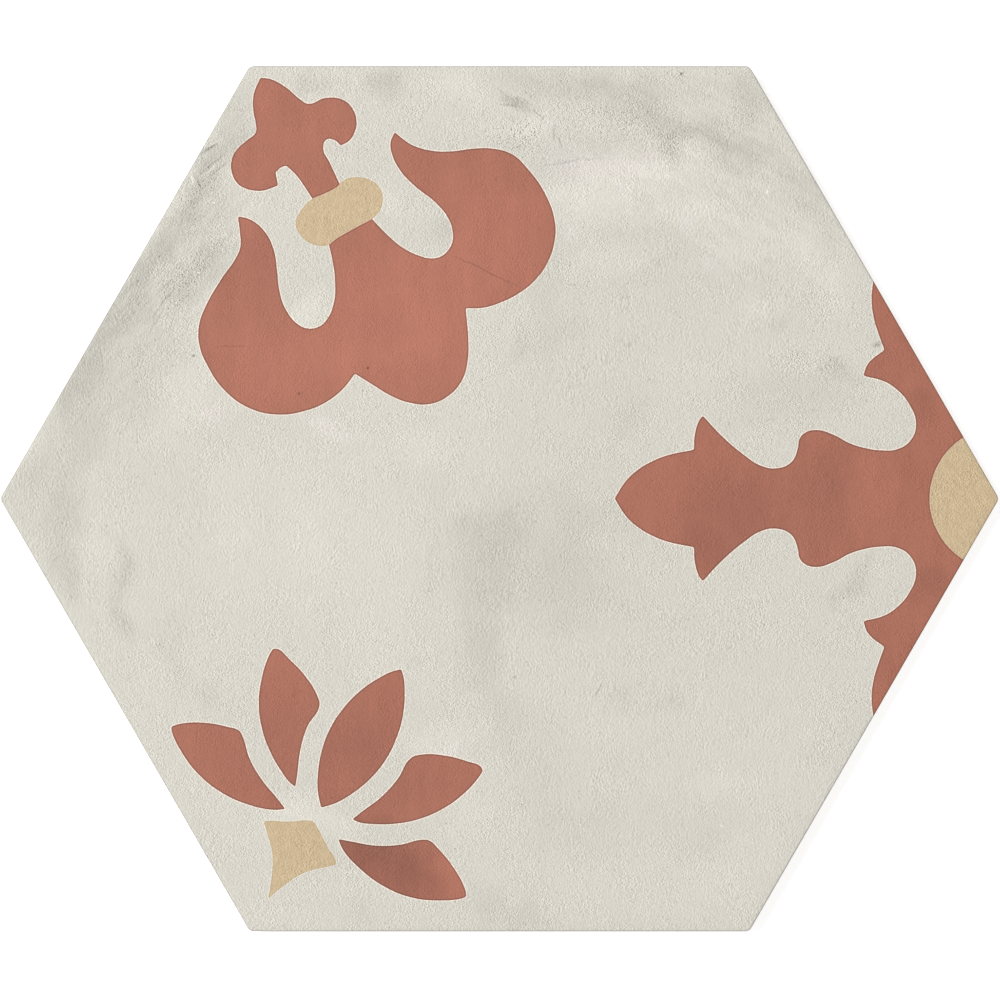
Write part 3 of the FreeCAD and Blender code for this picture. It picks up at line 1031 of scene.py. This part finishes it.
def printed_colour(glaze, terracotta, sand):
    """The colour of field and inks, with a light line outside the inks' edges and a dark one
    inside."""
    terracotta_depth = glaze.attribute("terracotta_depth")
    sand_depth = glaze.attribute("sand_depth")
    halo = glaze.line(terracotta_depth, *HALO_LINE)
    sand_halo = glaze.line(sand_depth, *SAND_HALO_LINE)
    rim = glaze.line(terracotta_depth, *RIM_LINE)
    seam = glaze.line(sand_depth, *SEAM_LINE)
    peach = glaze.times(glaze.line(sand_depth, *PEACH_LINE), terracotta)
    field = glaze.blend(glaze.attribute("blush"), FIELD, FIELD_BLUSH)
    field = glaze.blend(sand_halo, field, SAND_HALO)
    field = glaze.blend(halo, field, TERRACOTTA_HALO)
    clay = glaze.blend(glaze.reckon("MAXIMUM", rim, seam), TERRACOTTA, TERRACOTTA_RIM)
    beige = glaze.blend(glaze.line(sand_depth, *SAND_RIM_LINE), SAND, SAND_RIM)
    beige = glaze.blend(peach, beige, SAND_ON_TERRACOTTA)
    return glaze.blend(sand, glaze.blend(terracotta, field, clay), beige)


def decorated_glaze():
    """The matt glaze of the face: a cement look with terracotta and sand inks over it."""
    glaze = Finish("decorated_glaze", "2D")
    flat = glaze.vector("ADD", glaze.vector("MULTIPLY", glaze.place, (1, 1, 0)), (0, 0, 1))
    rough, pits, fine = glaze_grain(glaze, glaze.attribute("crumbled"))
    terracotta = glaze.ramp(glaze.attribute("terracotta_depth"), *TERRACOTTA_EDGE)
    sand = glaze.ramp(glaze.attribute("sand_depth"), *SAND_EDGE)
    printed = printed_colour(glaze, terracotta, sand)

    # Tone of field, terracotta and sand
    field_tone = glaze.reckon("ADD", cement_clouds(glaze, flat), fine)
    washes = glaze.layer(glaze.streaks(20, 6, 90), 0.12, glaze.attribute("ink_shade"))
    dapple = glaze.cloud(2.4, 4, 0.65, (0.8, 1.2, 1))
    washes = glaze.layer(dapple, 0.05, washes)
    clay_tone = glaze.layer(fine, 0.72, washes)
    sand_tone = glaze.layer(fine, 0.9, glaze.times(dapple, 0.16))
    tone = glaze.between(terracotta, field_tone, clay_tone)
    tone = glaze.between(sand, tone, sand_tone)
    tone = glaze.reckon("ADD", glaze.reckon("ADD", tone, worn_marks(glaze, flat)), 1.0)

    # The rounded arris is darkened with painted shade
    edge_shade = glaze.ramp(glaze.height(), *ARRIS_SHADE_HEIGHTS, ARRIS_SHADE_TONE, 1)
    tone = glaze.times(tone, edge_shade)
    toned = glaze.vector("ADD", glaze.vector("MULTIPLY", fine, GRAIN_TINT), tone)
    glaze.feed(glaze.shader.inputs["Base Color"], glaze.vector("MULTIPLY", printed, toned))
    sheen = glaze.layer(rough, 0.06, 0.52)
    glaze.feed(glaze.shader.inputs["Roughness"], sheen)
    glaze.feed(glaze.shader.inputs["Specular IOR Level"], 0.3)

    # Relief, in millimetres
    height = glaze.times(glaze.cloud(0.5, 2, 0.6, (0.8, 0.9, 1)), GRAIN_RELIEF)
    height = glaze.times(height, rough)
    height = glaze.layer(pits, -PIT_RELIEF, height)
    glaze.feed(glaze.shader.inputs["Normal"], glaze.relief(height))
    return glaze.material


def biscuit():
    """The unglazed stoneware of the sides and back, with glaze mist on the upper sides and a pale
    kiln wash on the back's ribs."""
    body = Finish("biscuit")
    height_up = body.height()

    # Glaze mist, thicker near the face, and the wash that the kiln rollers leave on the ribs
    uneven = body.layer(body.cloud(3.5, 4, 0.65), 1.4, height_up)
    mist = body.ramp(uneven, *MIST, 0.0, 0.85)
    bands = body.ramp(body.streaks(60, 9, 0), -0.25, 0.25, 0.25, 0.9)
    on_rib = body.ramp(height_up, *RIB_WASH, 1, 0)
    powder = body.ramp(body.cloud(1.1, 4, 0.7), -0.35, 0.2)
    wash = body.times(body.times(on_rib, bands), powder)

    tone = body.layer(body.cloud(30, 3), 0.07, 1.0)
    tone = body.layer(body.cloud(5, 4, 0.6), 0.05, tone)
    tone = body.layer(body.cloud(0.5, 3, 0.6), 0.16, tone)
    tone = body.layer(body.pits(1.7, 0.12), -0.45, tone)
    scraped = body.cloud(1, 2, 0.5, (0.5, 0.5, 9))
    tone = body.layer(scraped, 0.06, tone)
    clay = body.blend(wash, STONEWARE, KILN_WASH)
    clay = body.blend(mist, clay, GLAZE_MIST)
    body.feed(body.shader.inputs["Base Color"], body.scaled(clay, tone))
    body.feed(body.shader.inputs["Roughness"], body.between(mist, 0.9, 0.62))
    body.feed(body.shader.inputs["Specular IOR Level"], 0.25)
    height = body.times(body.cloud(0.6, 3, 0.6), 0.03)
    height = body.layer(body.pits(1.7, 0.12), -0.05, height)
    body.feed(body.shader.inputs["Normal"], body.relief(height))
    return body.material


def make_tile():
    """The whole tile as one closed mesh."""
    pressed = bmesh.new()
    press_slab(pressed)
    press_back(pressed)
    lay_face(pressed)
    bmesh.ops.recalc_face_normals(pressed, faces=pressed.faces[:])
    shape = bpy.data.meshes.new("fired_tile")
    pressed.to_mesh(shape)
    pressed.free()
    tile = bpy.data.objects.new("fired_tile", shape)
    bpy.context.scene.collection.objects.link(tile)
    score_face(tile)
    Ink("terracotta_depth", TERRACOTTA_PARTS).mark(tile)
    Ink("sand_depth", SAND_PARTS).mark(tile)
    lay_shades(tile, "shade", SHADES)
    lay_shades(tile, "ink_shade", INK_SHADES)
    lay_shades(tile, "blush", BLUSHES)
    lay_shades(tile, "crumbled", CRUMBLED)
    wave_face(tile)
    shape.materials.clear()
    shape.materials.append(decorated_glaze())
    shape.materials.append(biscuit())
    for face in shape.polygons:
        face.material_index = 0 if face.center.z > THICKNESS - FACE_EDGE_ROUNDING else 1
        face.use_smooth = True
    lay_out_bake(tile)
    return tile


tile = make_tile()
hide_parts("hexagon_tile")
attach(tile, "root")


# The studio

CAMERA_LENS = 150.0
SENSOR = 36.0
VIEW_REACH = 10.0
PICTURE_WIDTH = 294.5 * MM  # of what the picture shows at the tile's face
CAMERA_OFFSET = (0.15 * MM, -0.39 * MM)  # off the tile's middle, as the photograph is framed
WORLD_LIGHT = 0.45
LAMP_SPOT = (-1.5, 0.6, 2.8)
LAMP_SIZE = 1.2
LAMP_WATTS = 63
BACK_LAMP_SPOT = (-0.9, -0.8, -1.6)
BACK_LAMP_WATTS = 24
FLOOR_DROP = 0.02 * MM
FLOOR_GLOW = 0.62
FLOOR_GREY = 0.86
FLOOR_REACH = 3.0
FLOOR_CLEARNESS = 3 * MM  # light that leaves the back passes the floor within this distance


def seen(nodes):
    """1 for what the camera sees, also in a gloss or through glass."""
    path = nodes.add("ShaderNodeLightPath").outputs
    either = nodes.reckon("MAXIMUM", path["Is Camera Ray"], path["Is Glossy Ray"])
    return nodes.reckon("MAXIMUM", either, path["Is Transmission Ray"])


def lay_floor():
    """A white floor that keeps the tile's shadow. It is clear from below, and to light on the
    tile's back, so that the back shows."""
    ground = bmesh.new()
    bmesh.ops.create_grid(ground, x_segments=1, y_segments=1, size=FLOOR_REACH)
    bmesh.ops.translate(ground, verts=ground.verts[:], vec=(0, 0, -FLOOR_DROP))
    sheet = bpy.data.meshes.new("studio_floor")
    ground.to_mesh(sheet)
    ground.free()
    floor = bpy.data.objects.new("studio_floor", sheet)
    bpy.context.scene.collection.objects.link(floor)
    white = bpy.data.materials.new("studio_white")
    nodes = Nodes(white)
    nodes.tree.nodes.remove(nodes.tree.nodes["Principled BSDF"])
    grey = (FLOOR_GREY, FLOOR_GREY, FLOOR_GREY, 1)
    matt = nodes.add("ShaderNodeBsdfDiffuse", grey)
    glow = nodes.add("ShaderNodeEmission")
    nodes.feed(glow.inputs["Strength"], nodes.reckon("MULTIPLY", seen(nodes), FLOOR_GLOW))
    both = nodes.add("ShaderNodeAddShader", matt.outputs[0], glow.outputs[0])
    clear = nodes.add("ShaderNodeBsdfTransparent")
    below = nodes.add("ShaderNodeNewGeometry").outputs["Backfacing"]
    length = nodes.add("ShaderNodeLightPath").outputs["Ray Length"]
    near = nodes.reckon("LESS_THAN", length, FLOOR_CLEARNESS)
    share = nodes.reckon("MAXIMUM", below, near)
    surface = nodes.add("ShaderNodeMixShader", share, both.outputs[0], clear.outputs[0])
    nodes.feed(nodes.tree.nodes["Material Output"].inputs["Surface"], surface.outputs[0])
    sheet.materials.append(white)


def light_world():
    """Soft white light from all round, and a white background."""
    world = bpy.data.worlds.new("studio")
    bpy.context.scene.world = world
    nodes = Nodes(world)
    sky = nodes.tree.nodes["Background"]
    nodes.feed(sky.inputs["Color"], (1, 1, 1, 1))
    level = nodes.add("ShaderNodeMapRange", seen(nodes))
    nodes.feed(level.inputs["To Min"], WORLD_LIGHT)
    nodes.feed(level.inputs["To Max"], 1.0)
    nodes.feed(sky.inputs["Strength"], level.outputs[0])


def hang_lamp(name, spot, size, watts):
    lamp = bpy.data.lights.new(name, "AREA")
    lamp.shape = "DISK"
    lamp.size = size
    lamp.energy = watts
    holder = bpy.data.objects.new(name, lamp)
    holder.location = spot
    holder.rotation_euler = (-Vector(spot)).to_track_quat("-Z", "Y").to_euler()
    bpy.context.scene.collection.objects.link(holder)


def place_camera():
    lens = bpy.data.cameras.new("camera")
    lens.lens = CAMERA_LENS
    lens.sensor_width = SENSOR
    lens.clip_end = VIEW_REACH
    camera = bpy.data.objects.new("camera", lens)
    height = THICKNESS + PICTURE_WIDTH * CAMERA_LENS / SENSOR
    camera.location = (*CAMERA_OFFSET, height)
    bpy.context.scene.collection.objects.link(camera)
    bpy.context.scene.camera = camera


bpy.context.scene.view_settings.view_transform = "Standard"
light_world()
lay_floor()
hang_lamp("key_lamp", LAMP_SPOT, LAMP_SIZE, LAMP_WATTS)
hang_lamp("back_lamp", BACK_LAMP_SPOT, LAMP_SIZE, BACK_LAMP_WATTS)
place_camera()
